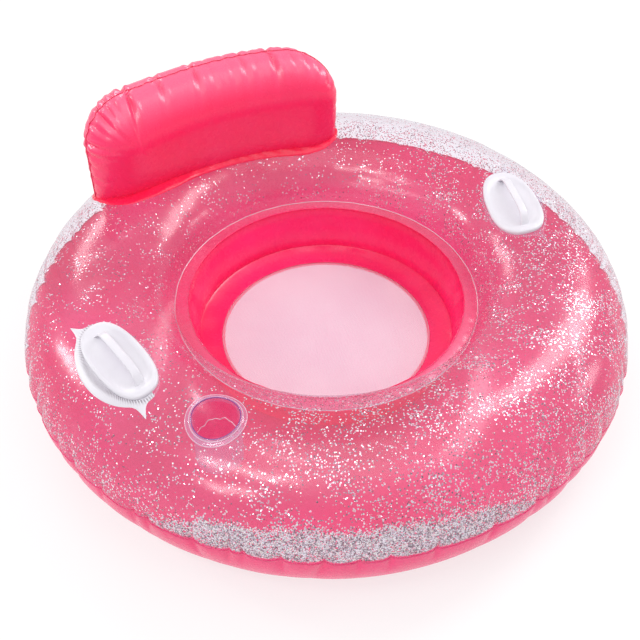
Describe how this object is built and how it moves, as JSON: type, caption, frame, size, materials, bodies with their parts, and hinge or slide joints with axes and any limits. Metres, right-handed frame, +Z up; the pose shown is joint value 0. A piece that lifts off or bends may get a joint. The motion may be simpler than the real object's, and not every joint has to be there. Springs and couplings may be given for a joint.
{
  "type": "inflatable pool float",
  "caption": "Round inflatable lounge ring with a pillow backrest, mesh seat floor, grab handles and a drink holder; loose glitter shows through its clear upper film.",
  "frame": {"origin": "on the ground under the ring's axis, at the centre of the bounding box's bottom face", "axes": "+Z up along the ring's axis, +Y from the seat towards the backrest, +X to the sitter's left when facing -Y"},
  "size_m": [1.18, 1.18, 0.482],
  "materials": {
    "clear_film": "clear glossy PVC film",
    "pink_film": "opaque glossy PVC film",
    "glitter": "metallised film flakes",
    "mesh": "fine knitted polyester mesh",
    "white_vinyl": "moulded soft PVC, satin",
    "clear_mould": "moulded clear PVC, glossy"
  },
  "bodies": {
    "ring": {"ring_top_skin": "clear_film", "ring_bottom_skin": "pink_film", "ring_inner_wall": "pink_film", "glitter_flakes": "glitter", "seat_skirt": "pink_film", "seat_mesh": "mesh", "seat_weld_ring": "pink_film", "left_handle_patch": "white_vinyl", "left_handle_grip": "white_vinyl", "right_handle_patch": "white_vinyl", "right_handle_grip": "white_vinyl", "cup_holder_flange": "clear_mould", "cup_holder_sleeve": "clear_mould", "cup_holder_base": "clear_mould", "ring_valve_flange": "clear_mould", "backrest_base_strip": "pink_film"},
    "backrest": {"backrest_front_skin": "pink_film", "backrest_rear_skin": "pink_film", "backrest_valve_flange": "clear_mould"},
    "ring_valve_stem": {"ring_valve_stem": "clear_mould"},
    "ring_valve_flap": {"ring_valve_flap": "clear_mould"},
    "ring_valve_plug": {"ring_valve_plug": "clear_mould", "ring_valve_tether": "clear_mould"},
    "backrest_valve_stem": {"backrest_valve_stem": "clear_mould"},
    "backrest_valve_flap": {"backrest_valve_flap": "clear_mould"},
    "backrest_valve_plug": {"backrest_valve_plug": "clear_mould", "backrest_valve_tether": "clear_mould"}
  },
  "joints": [
    {"name": "backrest_lean", "type": "hinge", "parent": "ring", "child": "backrest", "pos_m": [-0.045, 0.437, 0.288], "axis": [-1, 0, 0], "range_deg": [-6, 12], "stiffness_Nm_per_rad": 10},
    {"name": "ring_valve_recess", "type": "slide", "parent": "ring", "child": "ring_valve_stem", "axis": [0, 0.7338, 0.6794], "range_m": [-0.011, 0]},
    {"name": "ring_valve_plug_pull", "type": "slide", "parent": "ring_valve_stem", "child": "ring_valve_plug", "axis": [0, 0.7338, 0.6794], "range_m": [0, 0.012]},
    {"name": "ring_valve_flap_open", "type": "hinge", "parent": "ring_valve_stem", "child": "ring_valve_flap", "pos_m": [0, 0.54102, 0.23587], "axis": [-1, 0, 0], "range_deg": [0, 50], "stiffness_Nm_per_rad": 0.002},
    {"name": "backrest_valve_recess", "type": "slide", "parent": "backrest", "child": "backrest_valve_stem", "axis": [0, 1, 0], "range_m": [-0.011, 0]},
    {"name": "backrest_valve_plug_pull", "type": "slide", "parent": "backrest_valve_stem", "child": "backrest_valve_plug", "axis": [0, 1, 0], "range_m": [0, 0.012]},
    {"name": "backrest_valve_flap_open", "type": "hinge", "parent": "backrest_valve_stem", "child": "backrest_valve_flap", "pos_m": [-0.045, 0.5043, 0.3796], "axis": [-1, 0, 0], "range_deg": [0, 50], "stiffness_Nm_per_rad": 0.002}
  ]
}
